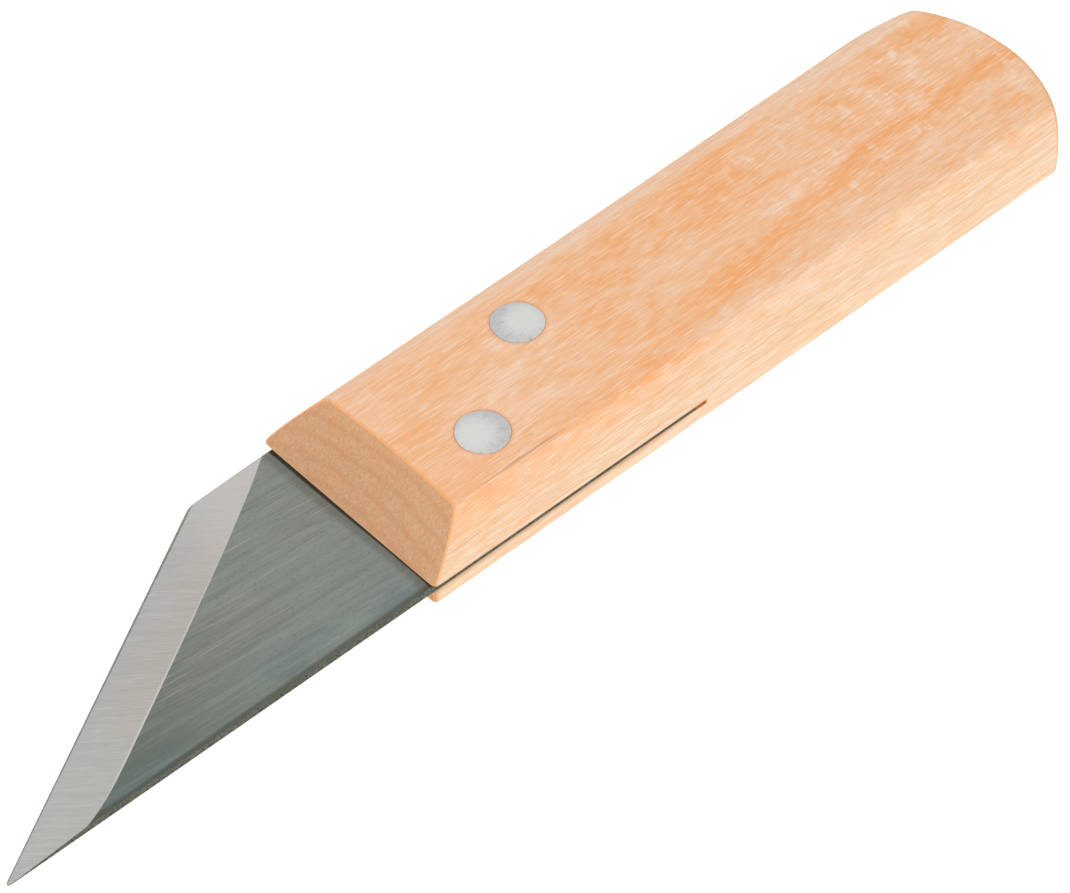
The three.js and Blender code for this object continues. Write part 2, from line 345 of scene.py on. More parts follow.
def half_section():
    full = HALF_WIDTH
    foot = (full - LOWER_INSET, -HALF_THICKNESS)
    band = (full, -LOWER_BAND)
    lean = (full, LEAN_START)
    shoulder = (full - LEAN_INSET, LEAN_END)
    crown = (full - SHOULDER_INSET, HALF_THICKNESS - CROWN_RISE)
    lower_bend = (full - LOWER_SLOPE * (HALF_THICKNESS - LOWER_BAND) / 2,
                  -(HALF_THICKNESS + LOWER_BAND) / 2)
    lean_bend = (full - LEAN_SLOPE * (LEAN_END - LEAN_START) / 2, (LEAN_START + LEAN_END) / 2)
    points = curve((SEAM_BELOW, -HALF_THICKNESS), (foot[0] / 2, -HALF_THICKNESS), foot, 8)
    points += curve(foot, lower_bend, band, 9)
    points += curve(band, (full, (LEAN_START - LOWER_BAND) / 2), lean, 4)
    points += curve(lean, lean_bend, shoulder, 9)
    points += curve(shoulder, (shoulder[0] - SHOULDER_PULL, crown[1]), crown, 8)
    points += curve(crown, (crown[0] / 2, HALF_THICKNESS), (SEAM_ABOVE, HALF_THICKNESS), 12)
    return points


right = half_section()
section = right + [(-y, height) for y, height in reversed(right)]
print(len(section), "points round the handle")

# %% [markdown]
# ## Drawing the bar out
# The section is extruded along the knife and cut into stations. Each point is then moved a
# little: the bar widens and fills out towards the butt, and each long line stops where it meets
# the round end, which is an arc seen from above and leans in towards the top and bottom.

# %% Bar of the handle
CHAMFER_ROOM = 12         # the front stays in one long span, so that the saw cuts clean lines
STATIONS = 64
BUTT_FULLNESS = 0.33
BUTT_RADIUS = 22.7
BUTT_SKEW = -1
BUTT_LEAN = 0.95
FAR_CORNER_START = 11     # the far upper corner is sanded off over this length at the butt
FAR_CORNER_LOSS = 1.35
LENGTH = BUTT - FRONT


def side_inset(height):
    """How far the side stands in at this height."""
    if height <= LEAN_START:
        return 0
    rise = min(height, LEAN_END) - LEAN_START
    run = LEAN_END - LEAN_START
    return LEAN_SLOPE * rise + (LEAN_INSET - LEAN_SLOPE * run) * (rise / run) ** 2


def butt_x(y, height):
    """Where the round end of the handle is, at this place across it."""
    rise = max(0, abs(height) - LOWER_BAND) / (HALF_THICKNESS - LOWER_BAND)
    arc = math.sqrt(BUTT_RADIUS ** 2 - (y - BUTT_SKEW) ** 2)
    return BUTT - BUTT_RADIUS + arc - BUTT_LEAN * rise ** 2


def drawn_out(bm, edges):
    """A loop of edges extruded: the new points, and the new loop."""
    made = bmesh.ops.extrude_edge_only(bm, edges=edges)["geom"]
    verts = [part for part in made if isinstance(part, bmesh.types.BMVert)]
    loop = [part for part in made if isinstance(part, bmesh.types.BMEdge)
            and set(part.verts) <= set(verts)]
    return verts, loop


def drawn_bar():
    bm = bmesh.new()
    ring = [bm.verts.new((0, y, height)) for y, height in section]
    loop = [bm.edges.new(pair) for pair in zip(ring, ring[1:] + ring[:1])]
    bmesh.ops.contextual_create(bm, geom=loop)
    for length in (CHAMFER_ROOM, LENGTH - CHAMFER_ROOM):
        verts, loop = drawn_out(bm, loop)
        bmesh.ops.translate(bm, verts=verts, vec=(length, 0, 0))
    long_edges = [e for e in bm.edges if e.calc_length() > CHAMFER_ROOM + 1]
    bmesh.ops.subdivide_edges(bm, edges=long_edges, cuts=STATIONS, use_grid_fill=True)
    return bm


def shape_bar(bm):
    for vert in bm.verts:
        along, y, height = vert.co
        inset = side_inset(height)
        filled = inset * (1 - BUTT_FULLNESS * along / LENGTH)
        if y > 0:
            into_corner = max(0, 1 - (LENGTH - along) / FAR_CORNER_START)
            filled += FAR_CORNER_LOSS * into_corner ** 2 * min(1, inset / LEAN_INSET)
        y *= (HALF_WIDTH + FLARE * along - filled) / (HALF_WIDTH - inset)
        x = FRONT + along * (butt_x(y, height) - FRONT) / LENGTH
        if along <= CHAMFER_ROOM:
            x = FRONT + along
        vert.co = (x, y, height)


bar = drawn_bar()
rim = [e for e in bar.edges if all(v.co.x > LENGTH - 0.01 for v in e.verts)]
shape_bar(bar)
print(len(bar.verts), "points in the bar,", len(rim), "edges round its open end")

# %% [markdown]
# ## Closing the butt
# The open end is closed by drawing its rim inwards in rings over the round end and joining the
# last one at a point. The first rings follow a quarter circle, which softens the rim as
# sanding does, more where the end meets the sides than along its upper and lower rims. The sanded
# faces are never quite flat, so every point past the front is nudged by a few hundredths.

# %% Butt of the handle
RIM_RADIUS = 0.6
SIDE_RADIUS = 0.65
RIM_RINGS = 6
CAP_SHARES = [0.9, 0.75, 0.5, 0.25]
UNEVEN = 0.045
UNEVEN_LENGTH = 14
UNEVEN_WIDTH = 6
SANDED_OFF = 0.6          # sanding takes wood off far more than it leaves it proud


def close_butt(bm, loop):
    """Draws the rim inwards over the round end, ring by ring, to a point."""
    ring = list(dict.fromkeys(vert for edge in loop for vert in edge.verts))
    start = {vert: vert.co.yz for vert in ring}
    turns = [math.pi / 2 * i / RIM_RINGS for i in range(RIM_RINGS + 1)]
    steps = [(turn, 1) for turn in turns] + [(turns[-1], share) for share in CAP_SHARES]
    for turn, share in steps:
        if turn:
            held = {tuple(vert.co): start[vert] for vert in ring}
            ring, loop = drawn_out(bm, loop)
            start = {vert: held[tuple(vert.co)] for vert in ring}
        for vert in ring:
            y, height = start[vert]
            at_side = min(1, max(0, abs(y) - HALF_WIDTH + SHOULDER_INSET) / SHOULDER_INSET)
            radius = RIM_RADIUS + (SIDE_RADIUS - RIM_RADIUS) * at_side
            inset = radius * (1 - math.cos(turn))
            y *= share * (1 - inset / HALF_WIDTH)
            height *= share * (1 - inset / HALF_THICKNESS)
            vert.co = (butt_x(y, height) - radius * (1 - math.sin(turn)), y, height)
    bmesh.ops.pointmerge(bm, verts=ring, merge_co=(butt_x(0, 0), 0, 0))


def soften(bm, edges, offset, segments):
    bmesh.ops.bevel(bm, geom=edges, offset=offset, segments=segments, profile=0.5,
                    affect="EDGES", material=-1)


def nudge(bm):
    """Moves each point past the front in or out by a smooth noise."""
    bm.normal_update()
    for vert in bm.verts:
        past = min(1, max(0, (vert.co.x - FRONT - CHAMFER_ROOM) / CHAMFER_ROOM))
        at = Vector((vert.co.x / UNEVEN_LENGTH, vert.co.y / UNEVEN_WIDTH, vert.co.z / UNEVEN_WIDTH))
        vert.co += vert.normal * UNEVEN * past * (noise.noise(at) - SANDED_OFF)


close_butt(bar, rim)
nudge(bar)
print("closed:", all(e.is_manifold for e in bar.edges))

# %% [markdown]
# ## Sawing the front
# The front of the handle is sawn to two slopes of end grain, one above the blade and one below,
# which leave a narrow upright band that the blade comes out of. `bisect_plane` is that saw
# cut. Fine sandpaper then takes the sharpness off each rim, and a little more off the band's
# corners. The rim where the upper slope meets the blade stays crisp.

# %% Front of the handle
CHAMFER_SLOPE = 0.85      # rise over run
NEAR_CORNER = 0.8
FAR_CORNER = 1.0
RIM_WEAR = 0.28
RIM_ANGLE = math.radians(20)


def sawn(bm, point, direction):
    """Takes off what is beyond a plane, and closes the cut."""
    cut = bmesh.ops.bisect_plane(bm, geom=bm.verts[:] + bm.edges[:] + bm.faces[:], dist=0.001,
                                 plane_co=point, plane_no=direction, clear_outer=True)
    loop = [part for part in cut["geom_cut"] if isinstance(part, bmesh.types.BMEdge)]
    bmesh.ops.edgeloop_fill(bm, edges=loop)


sawn(bar, (FRONT, 0, LEAN_START), (-CHAMFER_SLOPE, 0, 1))
sawn(bar, (FRONT, 0, -LOWER_BAND), (-CHAMFER_SLOPE, 0, -1))
corners = [e for e in bar.edges if all(v.co.x < FRONT + 0.01 for v in e.verts)
           and abs(e.verts[0].co.z - e.verts[1].co.z) > 0.01]
near_corner = [e for e in corners if e.verts[0].co.y < 0.1 - HALF_WIDTH]
far_corner = [e for e in corners if e.verts[0].co.y > HALF_WIDTH - 0.1]
soften(bar, near_corner, NEAR_CORNER, 5)
soften(bar, far_corner, FAR_CORNER, 6)
bar.normal_update()
rims = [e for e in bar.edges if e.is_manifold and e.calc_face_angle() > RIM_ANGLE
        and min(v.co.x for v in e.verts) < FRONT + CHAMFER_ROOM
        and not all(abs(v.co.z - LEAN_START) < 0.02 for v in e.verts)]
print(len(near_corner), len(far_corner), "corner edges,", len(rims), "rim edges")
soften(bar, rims, RIM_WEAR, 3)
bmesh.ops.translate(bar, verts=bar.verts, vec=(0, 0, MIDDLE))
print("closed:", all(e.is_manifold for e in bar.edges))

# %% [markdown]
# ## Rivets and their holes
# Each rivet is a soft pin, hammered over at both ends into a countersunk hole and sanded flush, so
# its head follows the crown of the handle and its outline is never a true circle. One half is
# enough, because the other is its mirror image. From the rim of the head one chain of rings goes
# down to the middle of the pin, and another goes in over the head to its centre. A rivet's hole is
# cut by the same shape, a little larger and reaching past the head.

# %% Rivet outline
RIVET_SEGMENTS = 72
HEAD_RADIUS = 3.5
SHANK_RADIUS = 2.5
CONE_DEPTH = 1.6
HEAD_WEAR = 0.12          # how far the rim of the head is worn down
HEAD_DOME = 0.05
HEAD_SHARES = (0.985, 0.95, 0.75, 0.5, 0.25)
WORN_FROM = 0.95          # past this share of its radius the head is worn
WORN_SHARE = 0.4          # how much of the rim's wear reaches the ring inside it
HOLE_GAP = 0.045          # between a rivet and the wall of its hole
HOLE_REACH = 3            # how far the cutter for a hole reaches past the head


def rivet_outline(half, grow, reach):
    """The rim, then the rings down from it and in from it, as radius and height over the head."""
    rim, shank = HEAD_RADIUS + grow, SHANK_RADIUS + grow
    down = [(shank, -CONE_DEPTH), (shank, -half)]
    if reach:
        return (rim, reach), [(rim, 0), *down], [(0, reach)]
    inwards = []
    for share in HEAD_SHARES:
        worn = max(0, (share - WORN_FROM) / (1 - WORN_FROM)) ** 2
        height = HEAD_DOME * (1 - share ** 2) - HEAD_WEAR * WORN_SHARE * worn
        inwards.append((rim * share, height))
    return (rim, -HEAD_WEAR), down, [*inwards, (0, HEAD_DOME)]


print("a rivet's rim and rings:", rivet_outline(HALF_THICKNESS, 0, 0)[:2])

# %% Rivets and holes
HEAD_WOBBLE = 0.13        # how far the outline of a head strays from its circle
WOBBLE_TURNS = 1.6


def crown_height(y):
    """The handle's top above its middle plane, at this place across it."""
    edge = HALF_WIDTH - SHOULDER_INSET
    return HALF_THICKNESS - CROWN_RISE * min(1, abs(y) / edge) ** 2


def rivet_mesh(node, name, grow=0.0, reach=0.0):
    """A rivet, or, with a gap to grow by and a reach past the head, the cutter for its hole."""
    low, high = box_mm(node)
    centre = (low + high) / 2
    half = high.z - centre.z
    rim, *chains = rivet_outline(half, grow, reach)
    bm = bmesh.new()
    top = bmesh.ops.create_circle(bm, segments=RIVET_SEGMENTS, radius=1)["verts"]
    rings = [(top, rim)]
    for chain in chains:
        loop = [e for e in bm.edges if set(e.verts) <= set(top)]
        for ring in chain:
            verts, loop = drawn_out(bm, loop)
            rings.append((verts, ring))
    for verts, (radius, height) in rings:
        at_head = min(1, max(0, 1 + height / CONE_DEPTH))
        for vert in verts:
            turn = math.atan2(vert.co.y, vert.co.x)
            at = Vector((math.cos(turn) * WOBBLE_TURNS, math.sin(turn) * WOBBLE_TURNS, centre.x))
            out = radius * (1 + HEAD_WOBBLE / HEAD_RADIUS * noise.noise(at) * at_head)
            x, y = out * math.cos(turn), out * math.sin(turn)
            lean = crown_height(centre.y + y) - crown_height(centre.y)
            vert.co = (x, y, half + height + lean * at_head)
    bmesh.ops.remove_doubles(bm, verts=bm.verts, dist=0.001)
    bmesh.ops.mirror(bm, geom=bm.verts[:] + bm.edges[:] + bm.faces[:], axis="Z",
                     merge_dist=0.001)
    bmesh.ops.translate(bm, verts=bm.verts, vec=centre)
    print(name, "closed:", all(e.is_manifold for e in bm.edges))
    return mesh_from(bm, name)


rivet_centres = [(*((low + high) / 2).xy, 0) for low, high in
                 (box_mm("front_rivet"), box_mm("rear_rivet"))]
holes = [rivet_mesh(node, node + "_hole", HOLE_GAP, HOLE_REACH)
         for node in ("front_rivet", "rear_rivet")]

# %% [markdown]
# ## The saw cut
# A thin saw leaves a slot for the tang that runs out at the front and at both sides. Its faces
# wander slightly and its mouth is nicked, so the slot is a long box cut into stations whose faces
# open by a few hundredths here and there.

# %% Saw cut
KERF_LENGTH = 44.8
KERF_HEIGHT = 0.64
KERF_WANDER = 0.03
NICKS = 0.9               # how fast the nicks follow each other along the cut
KERF_STATIONS = 90
OVERSHOOT = 5

kerf = bmesh.new()
bmesh.ops.create_cube(kerf, size=1)
bmesh.ops.scale(kerf, verts=kerf.verts, vec=(
    KERF_LENGTH + OVERSHOOT, 2 * (HALF_WIDTH + OVERSHOOT), KERF_HEIGHT))
bmesh.ops.translate(kerf, verts=kerf.verts, vec=(
    FRONT + (KERF_LENGTH - OVERSHOOT) / 2, 0, MIDDLE))
bmesh.ops.subdivide_edges(kerf, cuts=KERF_STATIONS, use_grid_fill=True, edges=[
    e for e in kerf.edges if abs(e.verts[0].co.x - e.verts[1].co.x) > OVERSHOOT])
for vert in kerf.verts:
    side = 1 if vert.co.z > MIDDLE else -1
    nick = noise.noise(Vector((vert.co.x * NICKS, vert.co.y, side * 4)))
    vert.co.z += side * KERF_WANDER * max(0, nick)

kerf_mesh = mesh_from(kerf, "kerf")
print("saw cut", KERF_LENGTH, "mm deep and", KERF_HEIGHT, "mm high")

# %% [markdown]
# Below the slot, the corner beside the cutting edge is worn further back than the others, in a
# quarter circle seen from above. A last cutter is what lies outside that quarter circle.

# %% Worn corner
WORN_RADIUS = 2.8
WORN_STEPS = 24

worn = bmesh.new()
side = HALF_WIDTH + FLARE * WORN_RADIUS
plan = [(FRONT + WORN_RADIUS, side + OVERSHOOT), (FRONT - OVERSHOOT, side + OVERSHOOT),
        (FRONT - OVERSHOOT, side - WORN_RADIUS)]
for i in range(WORN_STEPS + 1):
    turn = math.pi * (1 - i / WORN_STEPS / 2)
    plan.append((FRONT + WORN_RADIUS * (1 + math.cos(turn)),
                 side - WORN_RADIUS * (1 - math.sin(turn))))
outside = worn.faces.new([worn.verts.new((x, y, MIDDLE)) for x, y in plan])
lowered = bmesh.ops.extrude_face_region(worn, geom=[outside])["geom"]
bmesh.ops.translate(worn, verts=[v for v in lowered if isinstance(v, bmesh.types.BMVert)],
                    vec=(0, 0, -MIDDLE - OVERSHOOT))
worn_mesh = mesh_from(worn, "worn_corner")
print("worn corner", WORN_RADIUS, "mm in radius")

# %% [markdown]
# ## Wood
# The handle is pale, close-grained hardwood. Growth rings are shells round the heart of the tree,
# which was somewhere below this bar, so they show as thin slanting lines on the end grain and as
# broad soft bands on top. Along the grain lie short fibres and pores, pale and orange, a
# fraction of a millimetre wide. Near the butt the fibres wave, which shows as pale flecks across
# the grain. Because all of it is worked out in three dimensions, lines meet over every edge.

# %% Tones of the wood
# Long grain first, then end grain, then the marks.
PEACH = tone(222, 176, 138)
PALE = tone(228, 205, 186)
ORANGE = tone(224, 154, 92)
RUST = tone(206, 128, 76)
PINK = tone(220, 189, 165)
SAPWOOD_AND_SHEEN = tone(208, 184, 154)
END_TAN = tone(188, 144, 106)
END_PALE = tone(198, 156, 119)
END_LINE = tone(176, 118, 76)
END_WARM = tone(202, 138, 92)
END_LIGHT = tone(222, 188, 152)
GREY_GRAIN = tone(140, 108, 84)
KERF_SHADE_TONE = tone(196, 158, 118)
print("peach tone in linear light:", [round(v, 2) for v in PEACH[:3]])

# %% [markdown]
# The rings come first. The distance from the heart of the tree, bent a little by two noises, is
# folded into a ring line and the wood between two lines. The broad tone of the wood uses them
# faintly, with warm and pale patches, paler sides, and one orange band that drifts across the top.

# %% Rings and broad tone
HEART_Y = -1              # the heart of the tree, from the handle's middle line
HEART_Z = -68
RING_PITCH = 1.6
BAND_START = -11.3        # the orange band on top, from where it begins to where it runs out
BAND_DRIFT = 8.1
BAND_FROM, BAND_TO = -2, 66


def growth(f):
    """How far the fibres wave and ripple, and 0 on a ring line to 0.5 between two."""
    wave = f.grain((60, 9, 9), detail=2, shift=3) - 0.5
    ripple = f.grain((5, 1.3, 1.3), detail=2, shift=23) - 0.5
    heart = f.node("ShaderNodeCombineXYZ", inputs={1: f.y - HEART_Y, 2: f.z - HEART_Z})
    reach = f.node("ShaderNodeVectorMath", {"operation": "LENGTH"}, {0: heart}, 1)
    rings = (reach + wave * 1.6 + ripple * 0.25 + f.x * 0.012) / RING_PITCH
    return wave, ripple, f.node("ShaderNodeMath", {"operation": "PINGPONG"}, {0: rings, 1: 0.5})


def broad_tone(f, wave, ripple, ring, mottle):
    """Warm and pale patches, the near side paler with sapwood and painted sheen, the pink far side,
    and the band on top.
    """
    warmth = f.grain((22, 7, 7), detail=2, roughness=0.5, shift=11) + mottle * 0.7
    colour = f.blend(f.step(warmth, 0.84, 1.1) * 0.8, PEACH, ORANGE)
    colour = f.blend(f.step(warmth, 0.86, 0.62) * 0.6, colour, PALE)
    colour = f.blend(f.step(f.x, 16, -12) * 0.38, colour, ORANGE)
    # painted sheen: the near side is paler, partly sapwood and partly painted sheen
    colour = f.blend(f.step(f.y, -11.5, -15.5) * 0.75, colour, SAPWOOD_AND_SHEEN)
    colour = f.blend(f.step(f.y + ripple, 9.9, 11) * 0.75, colour, PINK)
    colour = f.blend(f.step(ring, 0.14, 0.0) * 0.12, colour, ORANGE)
    band_at = f.step(f.x, BAND_FROM, BAND_TO) * BAND_DRIFT + BAND_START
    off_band = abs(f.y - band_at + wave * 7 + ripple * 1.5)
    band = f.step(off_band, 2.1, 0.2) * f.step(f.x, -4, 55) * f.step(f.z, 9, 12)
    return f.blend(band * (0.35 + mottle), colour, ORANGE)


print("the orange band crosses", BAND_DRIFT, "mm of the top")

# %% [markdown]
# Across the grain lie pale flecks, where waving fibres turn their ends up to the surface. Four are
# large, and a noise scatters small ones. Strands of noise along the grain push each edge of a
# fleck forwards or back, so that it frays as wood does. Along the grain lie fibres a tenth of a
# millimetre wide and streaks of half a millimetre, which stand out more on the near side.

# %% Flecks and fibres
# Large flecks: how far along the knife, how far across it, and their half length.
FLECKS = [(68.2, 3.6, 5.8), (75.8, 4.4, 6.0), (72, -0.5, 2.6), (84, -7.5, 2.6)]


def flecked(f, colour, mottle):
    wisps = f.grain((2.2, 4, 4), detail=2, roughness=0.6, shift=41)
    strands = f.grain((9, 0.32, 0.32), detail=2, roughness=0.6, shift=43) - 0.5
    flecks = f.step(wisps + strands * 0.5, 0.56, 0.74) * f.step(f.x, 22, 60) * f.step(f.y, -13, -5)
    for fleck_x, fleck_y, half in FLECKS:
        near_x = f.step(abs(f.x - fleck_x + strands * 9), 1.7, 0.1)
        flecks = near_x * f.step(abs(f.y - fleck_y), half, half * 0.4) + flecks
    return f.blend(flecks * f.step(mottle, 0.3, 0.56) * 0.7, colour, PALE)


def fibrous(f, colour, fibre, streak, along):
    side = f.step(f.y, -12.5, -15)
    colour = f.blend(f.step(streak, 0.54, 0.68) * (0.2 + side * 0.4) * along, colour, PALE)
    colour = f.blend(f.step(streak, 0.46, 0.34) * (0.12 + side * 0.33) * along, colour, RUST)
    colour = f.blend(f.step(fibre, 0.52, 0.72) * 0.75 * along, colour, PALE)
    return f.blend(f.step(fibre, 0.48, 0.3) * 0.55 * along, colour, ORANGE)


print(len(FLECKS), "large flecks")

# %% [markdown]
# End grain is darker, because its pores are open and drink up dirt. It shows those pores, thin rays
# across the rings, and the lines of the rings themselves.

# %% End grain
def end_grain(f, pores, ring, mottle):
    rays = f.grain((0.5, 0.2, 2.0), detail=2, roughness=0.6, shift=9)
    end = f.blend(f.step(rays, 0.35, 0.68), END_TAN, END_PALE)
    end = f.blend(f.step(mottle, 0.45, 0.7) * 0.4, end, END_WARM)
    end = f.blend(f.step(pores, 0.5, 0.34) * 0.42, end, END_LINE)
    end = f.blend(f.step(pores, 0.54, 0.68) * 0.4, end, END_LIGHT)
    return f.blend(f.step(ring, 0.26, 0.0) * (0.1 + mottle * 0.3), end, END_LINE)


print("end grain is tan:", [round(v, 2) for v in END_TAN[:3]])

# %% [markdown]
# Making and using the knife marks the wood: it is bruised and a little darker round each rivet,
# soiled below the saw cut, and carries painted shade inside the cut, redder towards its deep end.
# One grey grain line runs along the top, beside the front rivet.

# %% Marks of making and use
GREY_LINE_Y = -11.4
KERF_DEEPEST = FRONT + KERF_LENGTH


def marked(f, colour, wave, ripple, mottle):
    bruise = 0.0
    for centre in rivet_centres:
        off = f.node("ShaderNodeVectorMath", {"operation": "DISTANCE"}, {
            0: f.node("ShaderNodeCombineXYZ", inputs={0: f.x, 1: f.y}), 1: centre}, 1)
        bruise = f.step(off + mottle * 0.4, HEAD_RADIUS + 0.75, HEAD_RADIUS + 0.2) + bruise
    colour = f.blend(bruise * 0.35, colour, RUST)

    off_line = abs(f.y - GREY_LINE_Y + ripple * 0.3 + wave)
    line = f.step(off_line, 0.22, 0.03) * f.step(f.x, -19, -7) * f.step(f.x, 2, -3)
    colour = f.blend(line * f.step(f.z, 11, 12) * 0.45, colour, GREY_GRAIN)

    below = MIDDLE - f.z
    soil = f.step(below, 1.3, 0.35) * f.step(below, 0.2, 0.3)
    soil = soil * f.step(f.x, KERF_DEEPEST, FRONT + 30)
    colour = f.blend(soil * (0.2 + mottle * 0.5), colour, GREY_GRAIN)
    # painted shade inside the saw cut: its walls are darker, and redder towards its deep end
    in_kerf = f.step(abs(below), 0.42, 0.36) * f.step(f.x, KERF_DEEPEST + 0.3, KERF_DEEPEST + 0.1)
    kerf_shade = f.blend(f.step(f.x, KERF_DEEPEST - 1.9, KERF_DEEPEST - 1.3), KERF_SHADE_TONE, RUST)
    return f.blend(in_kerf * 0.9, colour, kerf_shade)


print("the saw cut ends", round(KERF_DEEPEST, 2), "mm along the knife")

# %% [markdown]
# The parts now come together. The face's own direction tells long grain from end grain, and a
# narrow range of directions between the two is the worn rim, which is more orange. Fibres and
# streaks stand up a little on long grain, and pores sink into end grain.

# %% Wood and the finished handle
def wood():
    f = Finish("hand_sanded_wood", Specular_IOR_Level=0.4)
    wave, ripple, ring = growth(f)
    mottle = f.grain((3.4, 1.8, 1.8), detail=4, roughness=0.7, shift=31)
    fibre = f.grain((3.2, 0.11, 0.11), detail=1, roughness=0.5, shift=5)
    streak = f.grain((14, 0.5, 0.5), detail=4, roughness=0.65, shift=17)
    pores = f.grain((0.36, 0.3, 0.36), detail=4, roughness=0.8, shift=2)

    facing = f.node("ShaderNodeTexCoord", output="Normal")
    lengthwise = abs(f.node("ShaderNodeSeparateXYZ", inputs={0: facing}))
    along = f.step(lengthwise, 0.6, 0.45)
    rim = f.step(lengthwise, 0.1, 0.3) * f.step(lengthwise, 0.62, 0.5)

    colour = broad_tone(f, wave, ripple, ring, mottle)
    colour = flecked(f, colour, mottle)
    colour = fibrous(f, colour, fibre, streak, along)
    colour = f.blend(1 - along, colour, end_grain(f, pores, ring, mottle))
    colour = f.blend(rim * 0.7, colour, ORANGE)
    f.connect("Base Color", marked(f, colour, wave, ripple, mottle))
    f.connect("Roughness", 0.56 + fibre * 0.12)
    f.relief((fibre * 0.6 + streak * 0.4) * along + pores * 0.4 * (1 - along), 0.03)
    return f


handle_mesh = cut_away(mesh_from(bar, "handle"), [worn_mesh, kerf_mesh, *holes], [wood()])
piece_from(handle_mesh, "wooden_handle", "handle")

# %% [markdown]
# ## The blade
# The blade is cut from cold strip: its outline starts as five points, and the strip gets its
# thickness by extrusion. The blunt tip and the heel, where the cutting edge begins, are rounded
# while they are still single upright edges.

# %% Strip cut to its outline
BLADE_THICKNESS = blade_high.z - blade_low.z
SPINE_Y = blade_low.y
EDGE_SIDE_Y = blade_high.y
TIP_WEAR = 0.74           # how much shorter the blunt tip is than a pointed one
TIP_DRESSING = 0.27       # how far the tip is dressed back from the spine
TIP_ROUND = 1.55          # how far from the pointed tip the blunt one starts
HEEL_OVERHANG = 13.1      # from the handle to the heel
HEEL_ROUND = 0.8
TIP = Vector((blade_low.x - TIP_WEAR, SPINE_Y + TIP_DRESSING, 0))
HEEL = Vector((FRONT - HEEL_OVERHANG, EDGE_SIDE_Y, 0))

plate = bmesh.new()
outline = [TIP, Vector((FRONT, SPINE_Y, 0)), Vector((blade_high.x, SPINE_Y, 0)),
           Vector((blade_high.x, EDGE_SIDE_Y, 0)), HEEL]
underside = plate.faces.new([plate.verts.new(point) for point in outline])
raised = bmesh.ops.extrude_face_region(plate, geom=[underside])["geom"]
bmesh.ops.translate(plate, verts=[v for v in raised if isinstance(v, bmesh.types.BMVert)],
                    vec=(0, 0, BLADE_THICKNESS))
bmesh.ops.recalc_face_normals(plate, faces=plate.faces)


def upright_at(point):
    return [e for e in plate.edges if all((v.co.xy - point.xy).length < 0.01 for v in e.verts)]


soften(plate, upright_at(TIP), TIP_ROUND, 8)
soften(plate, upright_at(HEEL), HEEL_ROUND, 4)
print("strip closed:", all(e.is_manifold for e in plate.edges), len(plate.faces), "faces")

# %% [markdown]
# The shears leave their marks. The cut along the spine slants out towards its foot, its upper rim
# is rolled over and its lower one has a small burr, and the strip droops a little along both long
# sides. So that it can droop in a curve, planes along it first split its faces into narrow bands,
# closest together beside the spine.

# %% Sheared sides
SHEAR_SLANT = 0.3         # how much further out the sheared spine stands at its foot
SPINE_BAND = 0.4          # how far in from the spine a point still belongs to it
SHEAR_ROLL = 0.22
SHEAR_BURR = 0.08
DROOP = 0.13              # along the spine, fading within this reach, and along the other side
DROOP_REACH = 1.1
FAR_DROOP = 0.09
FAR_DROOP_REACH = 6
DROOP_LINES = [0.55, 0.8, 1.1, 1.6, 2.3, 3.3, 5, 9, 15, 22, 27]

for vert in plate.verts:
    if vert.co.z > 0 and vert.co.y < SPINE_Y + SPINE_BAND:
        vert.co.y += SHEAR_SLANT
for height, roll in ((BLADE_THICKNESS, SHEAR_ROLL), (0, SHEAR_BURR)):
    long_rims = [e for e in plate.edges if all(abs(v.co.z - height) < 0.01 for v in e.verts)
                 and e.calc_length() > 10 and abs(e.verts[0].co.y - e.verts[1].co.y) < 1]
    soften(plate, long_rims, roll, 5)

for reach in DROOP_LINES:
    bmesh.ops.bisect_plane(plate, geom=plate.verts[:] + plate.edges[:] + plate.faces[:],
                           plane_co=(0, SPINE_Y + reach, 0), plane_no=(0, 1, 0))
for vert in plate.verts:
    droop = DROOP * math.exp((SPINE_Y - vert.co.y) / DROOP_REACH)
    droop += FAR_DROOP * math.exp((vert.co.y - EDGE_SIDE_Y) / FAR_DROOP_REACH)
    vert.co.z -= droop * vert.co.z / BLADE_THICKNESS
print("sheared:", all(e.is_manifold for e in plate.edges), len(plate.faces), "faces")

# %% [markdown]
# Two planes then grind the strip, a broad one for the bevel and a steeper, narrow one where it was
# honed, and each leaves its own face. Honing is done by hand, so it is wider at the heel than at
# the tip.

# %% Ground and honed
BEVEL_RISE = 0.0815       # rise over run of the bevel, and of the honed strip
HONED_RISE = 0.16
EDGE_LAND = 0.035
HEEL_HONED = 0.36         # how wide the honed strip is at the heel, and at the tip
TIP_HONED = 0.16
BLADE_BOTTOM = MIDDLE - BLADE_THICKNESS / 2

along_edge = (HEEL - TIP).normalized()
inwards = Vector((along_edge.y, -along_edge.x, 0))


def ground(bm, at_tip, at_heel, rise):
    """Grinds away what is above a plane that climbs from the edge, and cuts it at these heights."""
    from_tip = TIP + Vector((0, 0, at_tip))
    from_heel = HEEL + Vector((0, 0, at_heel))
    upwards = (from_heel - from_tip).cross(inwards + Vector((0, 0, rise)))
    if upwards.z < 0:
        upwards.negate()
    sawn(bm, from_tip, upwards.normalized())


ground(plate, EDGE_LAND, EDGE_LAND, BEVEL_RISE)
steeper = HONED_RISE - BEVEL_RISE
ground(plate, EDGE_LAND - TIP_HONED * steeper, EDGE_LAND - HEEL_HONED * steeper, HONED_RISE)
plate.normal_update()
print("blade closed:", all(e.is_manifold for e in plate.edges), len(plate.faces), "faces")

# %% [markdown]
# Each face takes its finish from the way it points. The bevel and the honed strip climb squarely
# from the cutting edge at their own angles, the rest that lies nearly flat is the skin of the
# strip, and what is left was sheared.

# %% Faces sorted by finish
FLAT, BEVEL, HONED, SHEARED = range(4)
FLAT_ABOVE = 14           # degrees that the skin may tilt, above and below
FLAT_BELOW = 5


